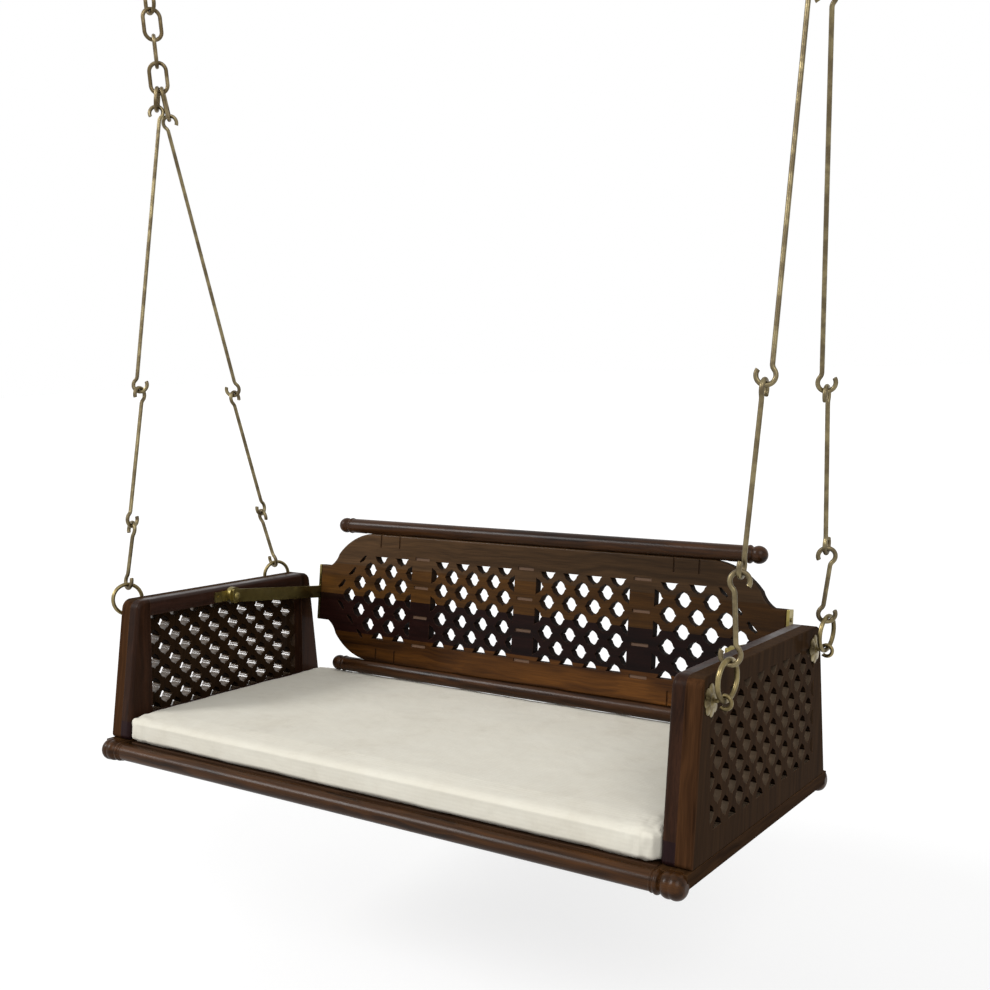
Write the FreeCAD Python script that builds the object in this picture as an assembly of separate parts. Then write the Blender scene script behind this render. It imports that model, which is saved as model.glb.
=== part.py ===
import FreeCAD, Part
import math
import os
from FreeCAD import Matrix, Placement, Rotation, Vector

# Jhoola: a wooden swing seat for two or three people, hung by brass rods and chains
# from two ceiling hooks, with a backrest that swings over to face the other way.
# Millimetres. X runs along the seat, its front faces -Y, Z points up.
# The origin lies on the ceiling, midway between the two ceiling plates.
# The wooden parts are drawn in a level seat frame whose origin is the middle of the
# seat at the foot of the side panels, and are then hung at their natural recline.

os.makedirs("parts", exist_ok=True)

# Side panels: a lattice board on the outside, lined by a frame on the inside.
seat_length = 1372.0
panel_depth = 612.0
panel_height = 298.0
panel_thick = 54.0
panel_taper = 37.5
panel_top_round = 22.0
panel_foot_round = 9.0
lattice_thick = 28.0
panel_inner_round = 8.0
lattice_edge_round = 2.5
side_top_border = 35.0
side_foot_border = 45.0
side_stile_top = 31.3
side_columns = 8
side_half_rows = 8
side_hole_reach = 17.8

# Lattice hole: a round body with four pointed tips.
hole_body_share = 0.82
hole_shoulder_angle = 24.0
hole_bow_shares = (0.137, 0.835)

# Platform: two turned rails, two side boards, planks on battens.
rail_radius = 17.5
rail_overhang = 13.0
rail_drop = 20.0
fine_bead_width = 4.0
fine_bead_rise = 1.5
broad_bead_width = 9.0
broad_bead_rise = 3.0
bead_land = 2.0
bulb_neck_radius = 14.5
bulb_radius = 21.3
bulb_length = 42.0
bulb_tip_radius = 7.0
bulb_belly_share = 0.45
bulb_quarter_shares = (0.16, 0.86)
bulb_nose_shares = (0.9, 0.72)
side_board_drop = 24.0
plank_count = 5
plank_thick = 15.0
plank_gap = 6.0
deck_drop = 3.0
deck_margin = 6.0
batten_count = 4
batten_width = 40.0
batten_height = 18.0
batten_inset = 3.0

# Mattress cushion.
cushion_height = 60.0
cushion_side_gap = 3.0
cushion_setback = 8.0
cushion_corner = 34.0
cushion_waist = 3.0
cushion_seam_inset = 7.0
cushion_shoulder_inset = 24.0
cushion_crown_inset = 120.0
cushion_crown = 3.0
cushion_seam_share = 0.09
cushion_side_shares = (0.3, 0.7)
cushion_shoulder_share = 0.93
soft_gap = 0.3

# Backrest.
arm_standoff = 21.0
back_thick = 22.0
tab_half_height = 69.0
tab_length = 29.0
back_half_height = 155.5
ogee_turn_in = 55.0
ogee_turn_up = 31.0
ogee_sag_in = 43.0
ogee_sag_up = 11.0
ogee_crest_in = 156.0
ogee_belly_in = 94.0
ogee_belly_up = 65.0
back_edge_round = 4.0
tongue_thick = 10.0
tongue_height = 12.0
tongue_inset = 15.0
back_flat_overrun = 25.0
back_rail_reach = 172.0
back_rail_radius = 17.5
back_rail_inset = 90.0
back_bead_width = 7.0
back_bead_rise = 1.6
back_neck_width = 4.0
back_neck_radius = 14.5
back_ball_radius = 18.5
back_hole_reach = 20.0
back_border = 55.0
back_end_border = 39.0
middle_post = 57.2
side_post = 58.8
inner_field_share = 0.4845
inner_group_columns = 4
outer_group_columns = 4
outer_step_share = 0.2586
slot_length = 42.0
slot_height = 7.0
slot_depth = 2.5
slot_row_shares = (-3.09, -1.06, 1.06, 3.09)
groove_insets = (34.0, 91.5)
groove_length = 32.0
groove_width = 4.5
groove_depth = 2.5

# Brass arms of the backrest.
back_setback = 9.0
arm_thick = 6.0
arm_height = 30.0
arm_nose = 12.0
arm_corner = 3.0
pivot_drop = 21.0
pin_radius = 4.0
pin_clearance = 0.08
pin_head_radius = 8.0
pin_head_height = 4.0
pin_bite = 22.0
base_plate_thick = 3.0
base_plate_front = 52.0
base_plate_rear = 24.0
base_plate_height = 24.0
boss_radius = 19.0
side_play = 0.3
fit_gap = 0.1
screw_radius = 2.0
screw_head_radius = 4.0
screw_head_height = 2.2
screw_length = 22.0
plate_screw_inset = 21.0
base_screw_place = 40.0
bolt_radius = 4.0
bolt_head_radius = 7.5
bolt_head_height = 5.0
bolt_bite = 70.0
bolt_inset = 32.0

# Suspension.
eye_inset = 30.5
eye_depth = 41.0
eye_wire = 7.0
eye_loop_radius = 10.5
eye_bend_radius = 7.0
eye_bend_angle = 65.0
eye_neck = 8.0
eye_bite = 38.0
eye_sweep = 290.0
rosette_radius = 27.0
rosette_notch_radius = 22.5
rosette_petals = 8
rosette_edge = 1.6
rosette_rise = 4.2
rosette_inner_share = 0.5
rosette_dome_radius = 9.5
rosette_dome_rise = 3.4
ring_wire = 8.5
ring_loop_radius = 32.75
rod_wire = 8.5
rod_hook_radius = 15.5
rod_bend_radius = 14.0
rod_bend_angle = 40.0
rod_hook_sweep = 252.0
short_rod = 138.0
medium_rod = 304.0
long_rod = 656.0
front_end_link = 40.0
rear_end_link = 60.0
link_wire = 9.0
link_width = 48.0
link_pitch = 60.0
links_per_chain = 5
link_gap = 0.3
end_link_gap = 1.75
chain_splay = 94.0
end_link_shift = 5.4
hook_wire = 10.0
hook_loop_radius = 17.0
hook_bend_radius = 14.0
hook_bend_angle = 40.0
hook_sweep = 255.0
hook_shank = 16.0
ceiling_plate = 90.0
ceiling_plate_thick = 6.0
ceiling_plate_corner = 8.0
ceiling_hole_spacing = 60.0
ceiling_hole_radius = 3.0

# The level direction that each ring, rod and link spreads along, in degrees from +X
# towards +Y, and the side on which the upper tip of each rod's hook lies.
link_turn = 35.0
end_link_turn = 132.0
ring_turns = {"left": 72.0, "right": 86.0}
rod_turns = {
    "left": {"short": 164.0, "medium": 99.0, "long": 33.0},
    "right": {"short": 25.0, "medium": 96.0, "long": 25.0},
}
rod_sides = {
    "left_front": {"short": 1, "medium": -1, "long": -1},
    "left_rear": {"short": -1, "medium": 1, "long": 1},
    "right_front": {"short": 1, "medium": 1, "long": 1},
    "right_rear": {"short": -1, "medium": -1, "long": -1},
}
rod_lengths = {"short": short_rod, "medium": medium_rod, "long": long_rod}

# How far the seat leans back when it hangs still: the rear lines are longer, and the
# weight of the seat and its backrest lies under the ceiling hooks.
seat_recline = 4.0

overrun = 20.0
CENTRE = Vector()
X_AXIS = Vector(1, 0, 0)
Y_AXIS = Vector(0, 1, 0)
Z_AXIS = Vector(0, 0, 1)
SIDES = {"left": -1, "right": 1}
ENDS = {"front": -1, "rear": 1}

half_length = seat_length / 2
panel_inner = half_length - panel_thick
lining_thick = panel_thick - lattice_thick
top_half_depth = panel_depth / 2 - panel_taper
side_opening = 2 * (top_half_depth - side_stile_top)
rail_offset = panel_depth / 2 + rail_overhang
cushion_depth = panel_depth - 2 * cushion_setback
deck_top = -deck_drop
cushion_floor = deck_top + soft_gap
cushion_top = cushion_floor + cushion_height
pivot_height = panel_height - pivot_drop
arm_radius = panel_depth / 2 - back_setback
back_half_length = panel_inner - arm_standoff
arm_outer = back_half_length + arm_thick
crest_half_length = back_half_length - ogee_crest_in
back_row_step = (back_half_height - back_border) / 3
field_length = back_half_length - back_end_border - side_post - middle_post / 2
inner_group_start = middle_post / 2
inner_group_end = inner_group_start + field_length * inner_field_share
outer_group_start = inner_group_end + side_post
outer_group_bevel = back_half_length - back_end_border
outer_group_step = (outer_group_bevel - outer_group_start) * outer_step_share
plate_screw_spacing = 2 * (tab_half_height - plate_screw_inset)
bolt_place = panel_depth / 2 - bolt_inset
eye_place = top_half_depth - eye_inset
eye_height = panel_height - eye_depth
apex_half_spread = half_length + chain_splay


def vec(x=0, y=0, z=0):
    return Vector(x, y, z)


def rounded_wire(corners, radii):
    """A closed outline through the corners, each rounded by its own radius."""
    if not any(radii):
        return Part.makePolygon(corners + corners[:1])
    count = len(corners)
    arcs = []
    for i in range(count):
        corner = corners[i]
        back = (corners[i - 1] - corner).normalize()
        ahead = (corners[(i + 1) % count] - corner).normalize()
        half = back.getAngle(ahead) / 2
        cut = radii[i] / math.tan(half)
        middle = corner + (back + ahead).normalize() * (radii[i] / math.sin(half))
        crest = middle + (corner - middle).normalize() * radii[i]
        arcs.append((corner + back * cut, crest, corner + ahead * cut))
    edges = []
    for i in range(count):
        start, crest, end = arcs[i]
        if radii[i] > 0:
            edges.append(Part.Arc(start, crest, end).toShape())
        following = arcs[(i + 1) % count][0]
        if end.distanceToPoint(following) > 0:
            edges.append(Part.LineSegment(end, following).toShape())
    return Part.Wire(edges)


def rectangle(width, height, radius=0, centre=CENTRE):
    """A rounded rectangle in the XY plane."""
    w, h = width / 2, height / 2
    corners = [centre + vec(x, y) for x, y in ((-w, -h), (w, -h), (w, h), (-w, h))]
    return rounded_wire(corners, [radius] * len(corners))


def slab(wire, height):
    return Part.Face(wire).extrude(Z_AXIS * height)


def box(low, high):
    size = high - low
    return Part.makeBox(size.x, size.y, size.z, low)


def placed(shape, origin, across, up):
    """The shape with its X axis laid along across and its Y axis along up."""
    out = across.cross(up)
    matrix = Matrix(
        across.x, up.x, out.x, origin.x,
        across.y, up.y, out.y, origin.y,
        across.z, up.z, out.z, origin.z,
        0, 0, 0, 1)
    copy = shape.copy()
    copy.transformShape(matrix, True)
    return copy


def mirrored(shape, side):
    """The right-hand shape itself, or its mirror image for the left."""
    return shape if side > 0 else shape.mirror(CENTRE, X_AXIS)


def turned(points):
    """A solid turned about the X axis from a closed outline of straight runs and arcs."""
    edges = []
    for start, through, end in points:
        if through is None:
            edges.append(Part.LineSegment(start, end).toShape())
        else:
            edges.append(Part.Arc(start, through, end).toShape())
    return Part.Face(Part.Wire(edges)).revolve(CENTRE, X_AXIS, 360)


def hung(shape):
    """Move a shape from the level seat frame to where it hangs below the ceiling."""
    copy = shape.copy()
    copy.transformShape(seat_placement.toMatrix(), True)
    return copy


def hung_point(point):
    return seat_placement.multVec(point)


def save(name, shape):
    if not shape.isValid():
        print("not valid:", name)
    shape.exportStep("parts/" + name + ".step")


def save_group(name, shapes):
    save(name, Part.makeCompound(shapes))


# Lattice holes


def lattice_hole(x, y, reach):
    """Outline of one lattice hole: four bulging sides that meet in four small tips."""
    body = hole_body_share * reach
    turn = math.radians(hole_shoulder_angle)
    bow_x, bow_y = (share * reach for share in hole_bow_shares)
    shoulder_x, shoulder_y = body * math.sin(turn), body * math.cos(turn)
    quarter = [
        (vec(0, reach), vec(bow_x, bow_y), vec(shoulder_x, shoulder_y)),
        (vec(shoulder_x, shoulder_y), vec(body, body) * math.sqrt(0.5), vec(shoulder_y, shoulder_x)),
        (vec(shoulder_y, shoulder_x), vec(bow_y, bow_x), vec(reach, 0)),
    ]
    edges = []
    for i in range(4):
        spin = Rotation(Z_AXIS, -90 * i)
        for arc in quarter:
            edges.append(Part.Arc(*[spin.multVec(p) + vec(x, y) for p in arc]).toShape())
    return Part.Face(Part.Wire(edges))


def lattice_cutter(places, reach, border, thick):
    """Prisms for all the holes of one field, cut off where they cross its border."""
    holes = Part.makeCompound([lattice_hole(x, y, reach) for x, y in places])
    trimmed = holes.common(Part.Face(border))
    cutter = trimmed.extrude(Z_AXIS * (thick + 2 * overrun))
    cutter.translate(-Z_AXIS * overrun)
    return cutter


# Side panels, drawn for the right end in a frame of depth and height


def panel_outline():
    foot, top = panel_depth / 2, top_half_depth
    corners = [vec(-foot, 0), vec(foot, 0), vec(top, panel_height), vec(-top, panel_height)]
    radii = [panel_foot_round] * 2 + [panel_top_round] * 2
    return rounded_wire(corners, radii)


def outer_edges(solid, level):
    """The edges of a slab's outline that lie on its face at this level."""
    return [e for e in solid.Edges if abs(e.BoundBox.ZMin - level) + abs(e.BoundBox.ZMax - level) < fit_gap]


def panel_lining():
    lining = slab(panel_outline(), lining_thick)
    return lining.makeFillet(panel_inner_round, outer_edges(lining, 0))


def lattice_board():
    board = slab(panel_outline(), lattice_thick)
    board = board.makeFillet(lattice_edge_round, outer_edges(board, lattice_thick))
    pitch = side_opening / side_columns
    opening_height = panel_height - side_top_border - side_foot_border
    step = opening_height / side_half_rows
    places = []
    for row in range(side_half_rows + 1):
        odd = row % 2
        for column in range(side_columns + odd):
            shift = 0 if odd else pitch / 2
            places.append((-side_opening / 2 + shift + column * pitch, side_foot_border + row * step))
    middle = vec(0, side_foot_border + opening_height / 2)
    border = rectangle(side_opening, opening_height, 0, middle)
    return board.cut(lattice_cutter(places, side_hole_reach, border, lattice_thick))


def stand_panel(shape, start):
    """Stand a panel slab at the right end, its thickness running outward from start."""
    return placed(shape, vec(start, 0, 0), Y_AXIS, Z_AXIS)


def side_panel_parts():
    half_open = side_opening / 2
    foot = panel_depth / 2
    lining = panel_lining()
    sill = side_foot_border
    head = panel_height - side_top_border
    bounds = {
        "side_front_stile": (vec(-foot, 0), vec(-half_open, panel_height)),
        "side_rear_stile": (vec(half_open, 0), vec(foot, panel_height)),
        "side_bottom_rail": (vec(-half_open, 0), vec(half_open, sill)),
        "side_top_rail": (vec(-half_open, head), vec(half_open, panel_height)),
    }
    parts = {}
    for name, (low, high) in bounds.items():
        block = box(low, high + Z_AXIS * lining_thick)
        parts[name] = stand_panel(lining.common(block), panel_inner)
    parts["side_lattice"] = stand_panel(lattice_board(), panel_inner + lining_thick)
    return parts


# Turned rails


def bead(start, width, radius, rise):
    """One rounded bead of a turning, as an arc of its profile."""
    return (start, radius), (start + width / 2, radius + rise), (start + width, radius)


def rail_profile(steps, tip):
    """Closed profile of a turned rail, symmetric about its middle."""
    half = []
    for step in steps:
        points = [vec(x, r) for x, r in step]
        half.append((points[0], points[1] if len(points) == 3 else None, points[-1]))
    mirror = [tuple(p if p is None else vec(-p.x, p.y) for p in step[::-1]) for step in half[::-1]]
    return mirror + half + [(vec(tip, 0), None, vec(-tip, 0))]


def platform_rail():
    plain = half_length - bulb_length - 2 * bead_land - broad_bead_width - fine_bead_width
    fine_end = plain + fine_bead_width
    broad = fine_end + bead_land
    broad_end = broad + broad_bead_width
    neck = broad_end + bead_land
    tip = neck + bulb_length
    belly = neck + bulb_length * bulb_belly_share
    swell = bulb_radius - bulb_neck_radius
    quarter = (neck + (belly - neck) * bulb_quarter_shares[0] * 2,
               bulb_neck_radius + swell * bulb_quarter_shares[1])
    fall = tip - belly
    nose = (belly + fall * bulb_nose_shares[1], bulb_radius * bulb_nose_shares[0])
    steps = [
        [(0, rail_radius), (plain, rail_radius)],
        bead(plain, fine_bead_width, rail_radius, fine_bead_rise),
        [(fine_end, rail_radius), (broad, rail_radius)],
        bead(broad, broad_bead_width, rail_radius, broad_bead_rise),
        [(broad_end, rail_radius), (neck, bulb_neck_radius)],
        [(neck, bulb_neck_radius), quarter, (belly, bulb_radius)],
        [(belly, bulb_radius), nose, (tip, bulb_tip_radius)],
        [(tip, bulb_tip_radius), (tip, 0)],
    ]
    return turned(rail_profile(steps, tip))


def back_rail():
    plain = back_half_length - back_rail_inset
    bead_end = plain + back_bead_width
    neck = bead_end + back_neck_width
    reach = math.sqrt(back_ball_radius ** 2 - back_neck_radius ** 2)
    middle = neck + reach
    tip = middle + back_ball_radius
    steps = [
        [(0, back_rail_radius), (plain, back_rail_radius)],
        bead(plain, back_bead_width, back_rail_radius, back_bead_rise),
        [(bead_end, back_rail_radius), (neck, back_neck_radius)],
        [(neck, back_neck_radius), (middle, back_ball_radius), (tip, 0)],
    ]
    return turned(rail_profile(steps, tip))


# Platform


def platform_parts():
    rail = platform_rail()
    rails = {}
    for end_name, end in ENDS.items():
        copy = rail.copy()
        copy.translate(vec(0, end * rail_offset, -rail_drop))
        rails[end_name] = copy
    both = Part.makeCompound(list(rails.values()))
    parts = {"front_rail": rails["front"], "rear_rail": rails["rear"]}

    board = box(vec(panel_inner, -rail_offset, -side_board_drop), vec(half_length, rail_offset, 0))
    board = board.cut(both)
    shanks = [bolt_hole(end, -side_board_drop) for end in ENDS.values()]
    board = max(board.Solids, key=lambda s: s.Volume).cut(Part.makeCompound(shanks))
    parts["side_board"] = board

    deck_half = rail_offset - rail_radius
    width = (2 * deck_half - plank_gap * (plank_count - 1)) / plank_count
    planks = []
    for i in range(plank_count):
        start = -deck_half + i * (width + plank_gap)
        low = vec(-panel_inner + deck_margin, start, deck_top - plank_thick)
        high = vec(panel_inner - deck_margin, start + width, deck_top)
        planks.append(box(low, high))
    parts["deck_planks"] = planks

    top = deck_top - plank_thick
    reach = panel_inner - batten_inset - batten_width / 2
    battens = []
    for i in range(batten_count):
        middle = -reach + 2 * reach * i / (batten_count - 1)
        low = vec(middle - batten_width / 2, -rail_offset, top - batten_height)
        high = vec(middle + batten_width / 2, rail_offset, top)
        blank = box(low, high).cut(both)
        battens.append(max(blank.Solids, key=lambda s: s.Volume))
    parts["deck_battens"] = battens
    return parts


# Side panel bolts, which come up through the side boards


def bolt_line(end):
    return panel_inner + lining_thick / 2, end * bolt_place


def bolt_hole(end, floor):
    x, y = bolt_line(end)
    shank = Part.makeCylinder(bolt_radius + fit_gap, bolt_bite - floor, vec(x, y, floor))
    head = Part.makeCylinder(bolt_head_radius + fit_gap, bolt_head_height + fit_gap, vec(x, y, floor))
    return shank.fuse(head)


def panel_bolt(end):
    x, y = bolt_line(end)
    floor = -side_board_drop
    shank = Part.makeCylinder(bolt_radius, bolt_bite - floor - fit_gap, vec(x, y, floor))
    head = Part.makeCylinder(bolt_head_radius, bolt_head_height, vec(x, y, floor))
    return shank.fuse(head).removeSplitter()


# Cushion


def cushion_section(inset, height):
    """One level outline of the cushion, its sides drawn in between the corners."""
    half_x = panel_inner - cushion_side_gap - inset
    half_y = cushion_depth / 2 - inset
    radius = cushion_corner
    corners = []
    for sx, sy in ((1, 1), (-1, 1), (-1, -1), (1, -1)):
        corners.append((vec(sx * half_x, sy * half_y), sx, sy))
    edges = []
    for i, (corner, sx, sy) in enumerate(corners):
        nearer = radius * (1 - math.sqrt(0.5))
        along_y = corner - vec(0, sy * radius)
        along_x = corner - vec(sx * radius, 0)
        crest = corner - vec(sx * nearer, sy * nearer)
        first, last = (along_y, along_x) if sx * sy > 0 else (along_x, along_y)
        edges.append(Part.Arc(first, crest, last).toShape())
        other, ox, oy = corners[(i + 1) % len(corners)]
        if sx == ox:
            following = other - vec(0, oy * radius)
            waist = vec(sx * (half_x - cushion_waist), 0)
        else:
            following = other - vec(ox * radius, 0)
            waist = vec(0, sy * (half_y - cushion_waist))
        edges.append(Part.Arc(last, waist, following).toShape())
    wire = Part.Wire(edges)
    wire.translate(Z_AXIS * height)
    return wire


def cushion():
    low_side, high_side = cushion_side_shares
    levels = [
        (cushion_seam_inset, 0),
        (cushion_seam_inset * cushion_seam_share, cushion_height * cushion_seam_share),
        (0, cushion_height * low_side),
        (0, cushion_height * high_side),
        (cushion_seam_inset * cushion_seam_share, cushion_height * cushion_shoulder_share),
        (cushion_seam_inset, cushion_height),
    ]
    body = Part.makeLoft([cushion_section(*level) for level in levels], True, False)
    crown_levels = [
        (cushion_shoulder_inset, cushion_height),
        (cushion_crown_inset, cushion_height + cushion_crown),
    ]
    crown = Part.makeLoft([cushion_section(*level) for level in crown_levels], True, True)
    whole = body.fuse(crown)
    whole.translate(Z_AXIS * cushion_floor)
    return whole


# Backrest, drawn upright in a frame of length and height, its middle on the pivot line


def back_outline():
    end, foot = back_half_length, tab_half_height
    corner = end - tab_length
    points = [
        (vec(end, -foot), None, vec(end, foot)),
        (vec(end, foot), None, vec(corner, foot)),
        (vec(corner, foot), vec(end - ogee_sag_in, foot + ogee_sag_up),
         vec(end - ogee_turn_in, foot + ogee_turn_up)),
        (vec(end - ogee_turn_in, foot + ogee_turn_up), vec(end - ogee_belly_in, foot + ogee_belly_up),
         vec(end - ogee_crest_in, back_half_height)),
    ]
    right_top = points[1:]
    flip_x = [tuple(p if p is None else vec(-p.x, p.y) for p in step[::-1]) for step in right_top[::-1]]
    top = right_top + [(right_top[-1][2], None, flip_x[0][0])] + flip_x
    bottom = [tuple(p if p is None else vec(-p.x, -p.y) for p in step) for step in top]
    left_end = (vec(-end, foot), None, vec(-end, -foot))
    edges = []
    for start, through, finish in [points[0]] + top + [left_end] + bottom:
        if through is None:
            edges.append(Part.LineSegment(start, finish).toShape())
        else:
            edges.append(Part.Arc(start, through, finish).toShape())
    return Part.Wire(edges)


def inner_group():
    reach = (inner_group_end - inner_group_start) / 2
    middle = inner_group_start + reach
    step = 2 * reach / inner_group_columns
    places = []
    for row in range(-3, 4):
        odd = row % 2
        columns = inner_group_columns + (0 if odd else 1)
        start = -reach + (step / 2 if odd else 0)
        places += [(middle + start + i * step, row * back_row_step) for i in range(columns)]
    border = rectangle(2 * reach, 6 * back_row_step, 0, vec(middle, 0))
    return lattice_cutter(places, back_hole_reach, border, back_thick)


def outer_group():
    step = outer_group_step
    places = []
    for row in range(-3, 4):
        start = outer_group_start + (step / 2 if row % 2 else 0)
        places += [(start + i * step, row * back_row_step) for i in range(outer_group_columns)]
    high = 3 * back_row_step
    corners = [
        vec(outer_group_start, -high), vec(outer_group_bevel - high, -high), vec(outer_group_bevel, 0),
        vec(outer_group_bevel - high, high), vec(outer_group_start, high)]
    border = Part.makePolygon(corners + corners[:1])
    return lattice_cutter(places, back_hole_reach, border, back_thick)


def surface_cuts():
    """Shallow slots between the lattice fields and short grooves in the edges, on both faces."""
    cuts = []
    post = outer_group_start - side_post / 2
    for face_level in (-slot_depth, back_thick - slot_depth):
        for x in (-post, 0, post):
            for share in slot_row_shares:
                middle = vec(x, share * back_row_step, face_level)
                wire = rectangle(slot_length, slot_height, slot_height / 4, middle)
                cuts.append(slab(wire, 2 * slot_depth))
    for face_level in (-groove_depth, back_thick - groove_depth):
        for inset in groove_insets:
            for x in (inset - crest_half_length, crest_half_length - inset):
                for side in (-1, 1):
                    middle = side * (back_half_height - groove_length / 2 + overrun / 2)
                    wire = rectangle(groove_width, groove_length + overrun, 0, vec(x, middle, face_level))
                    cuts.append(slab(wire, 2 * groove_depth))
    return cuts


def back_panel():
    blank = slab(back_outline(), back_thick)
    rim = outer_edges(blank, 0) + outer_edges(blank, back_thick)
    panel = blank.makeFillet(back_edge_round, rim)
    right = [inner_group(), outer_group()]
    left = [g.mirror(CENTRE, X_AXIS) for g in right]
    panel = panel.cut(Part.makeCompound(right + left))
    panel = panel.cut(Part.makeCompound(surface_cuts()))
    low = (back_thick - tongue_thick) / 2
    for side in (-1, 1):
        middle = side * (back_half_height + tongue_height / 2 - back_edge_round / 2)
        height = tongue_height + back_edge_round
        wire = rectangle(2 * (crest_half_length - tongue_inset), height, 0, vec(0, middle, low))
        panel = panel.fuse(slab(wire, tongue_thick))
    return panel


def back_rail_seat():
    """What a back rail gives up to the panel: a flat for its edge and a groove for its tongue."""
    half = tongue_thick / 2 + fit_gap
    reach = crest_half_length - tongue_inset + fit_gap
    floor = -2 * back_rail_radius
    edge = back_half_height - back_rail_reach
    groove = box(vec(-reach, -half, floor), vec(reach, half, edge + tongue_height + fit_gap))
    crest = crest_half_length + back_flat_overrun
    flat = box(vec(-crest, -back_thick, floor), vec(crest, back_thick, edge))
    return groove.fuse(flat)


def upright_back_parts():
    """All pieces that turn with the backrest, with the arms level and the pivot at the origin."""
    parts = {}
    panel = placed(back_panel(), vec(0, arm_radius + back_thick / 2, 0), X_AXIS, Z_AXIS)
    cuts = []
    for side in SIDES.values():
        for height in (-plate_screw_spacing / 2, plate_screw_spacing / 2):
            cuts.append(plate_screw(side, height, fit_gap))
    parts["back_panel"] = panel.cut(Part.makeCompound(cuts))
    rail = back_rail()
    slotted = rail.cut(back_rail_seat())
    upper = slotted.copy()
    upper.translate(vec(0, arm_radius, back_rail_reach))
    lower = slotted.copy()
    lower.rotate(CENTRE, X_AXIS, 180)
    lower.translate(vec(0, arm_radius, -back_rail_reach))
    parts["back_top_rail"] = upper
    parts["back_bottom_rail"] = lower
    for name, side in SIDES.items():
        parts["back_arm_" + name] = mirrored(back_arm(), side)
    screws = []
    for side in SIDES.values():
        for height in (-plate_screw_spacing / 2, plate_screw_spacing / 2):
            screws.append(plate_screw(side, height, 0))
    parts["arm_screws"] = screws
    return parts


def plate_screw(side, height, gap):
    """A screw through the arm's end plate into the end of the backrest."""
    start = vec(arm_outer, arm_radius, height)
    shank = Part.makeCylinder(screw_radius + gap, screw_length, start, -X_AXIS)
    head = Part.makeCylinder(screw_head_radius + gap, screw_head_height, start, X_AXIS)
    return mirrored(shank.fuse(head), side)


def back_arm():
    """Flat bar from the pivot, with a cross plate on the end of the backrest."""
    half = arm_height / 2
    rear = arm_radius + back_thick / 2
    front = arm_radius - back_thick / 2
    corners = [
        vec(-arm_nose, -half), vec(front, -half), vec(front, -tab_half_height), vec(rear, -tab_half_height),
        vec(rear, tab_half_height), vec(front, tab_half_height), vec(front, half), vec(-arm_nose, half)]
    blank = slab(rounded_wire(corners, [arm_corner] * len(corners)), arm_thick)
    bar = placed(blank, vec(back_half_length, 0, 0), Y_AXIS, Z_AXIS)
    hole = Part.makeCylinder(pin_radius + pin_clearance, seat_length, vec(0, 0, 0), X_AXIS)
    heights = (-plate_screw_spacing / 2, plate_screw_spacing / 2)
    screws = [plate_screw(1, height, fit_gap) for height in heights]
    return bar.cut(hole).cut(Part.makeCompound(screws))


def arm_drop_angle():
    """How far the arms slope down to the rear when the lower back rail is at the cushion."""
    fall = pivot_height - back_rail_radius - back_bead_rise - soft_gap - cushion_top
    reach = math.hypot(arm_radius, back_rail_reach)
    return math.degrees(math.asin(fall / reach) - math.atan2(back_rail_reach, arm_radius))


# Fixed side of the arm pivots


def base_plate():
    x_wall = panel_inner
    height = base_plate_height
    corners = [
        vec(-base_plate_front, -height / 2), vec(base_plate_rear, -height / 2),
        vec(base_plate_rear, height / 2), vec(-base_plate_front, height / 2)]
    flat = slab(rounded_wire(corners, [arm_corner] * len(corners)), base_plate_thick)
    plate = placed(flat, vec(x_wall - base_plate_thick, 0, pivot_height), Y_AXIS, Z_AXIS)
    start = arm_outer + side_play
    boss = Part.makeCylinder(boss_radius, x_wall - start, vec(start, 0, pivot_height), X_AXIS)
    whole = plate.fuse(boss)
    return whole.cut(Part.makeCompound([pivot_bore(), base_screw(fit_gap)]))


def pivot_bore():
    length = panel_inner + pin_bite + fit_gap
    return Part.makeCylinder(pin_radius + fit_gap, length, vec(0, 0, pivot_height), X_AXIS)


def base_screw(gap):
    wall = panel_inner - base_plate_thick
    start = vec(wall, -base_screw_place, pivot_height)
    shank = Part.makeCylinder(screw_radius + gap, screw_length, start, X_AXIS)
    head = Part.makeCylinder(screw_head_radius + gap, screw_head_height, start, -X_AXIS)
    return shank.fuse(head)


def pivot_pin():
    start = back_half_length - side_play
    shank_length = panel_inner + pin_bite - start
    shank = Part.makeCylinder(pin_radius, shank_length, vec(start, 0, pivot_height), X_AXIS)
    dome_radius = (pin_head_radius ** 2 + pin_head_height ** 2) / (2 * pin_head_height)
    ball = Part.makeSphere(dome_radius, vec(start + dome_radius - pin_head_height, 0, pivot_height))
    low = vec(start - overrun, -2 * dome_radius, pivot_height - 2 * dome_radius)
    high = vec(start, 2 * dome_radius, pivot_height + 2 * dome_radius)
    return ball.common(box(low, high)).fuse(shank)


# Wire work: paths are drawn in a plane by steps forward and turns


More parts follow.
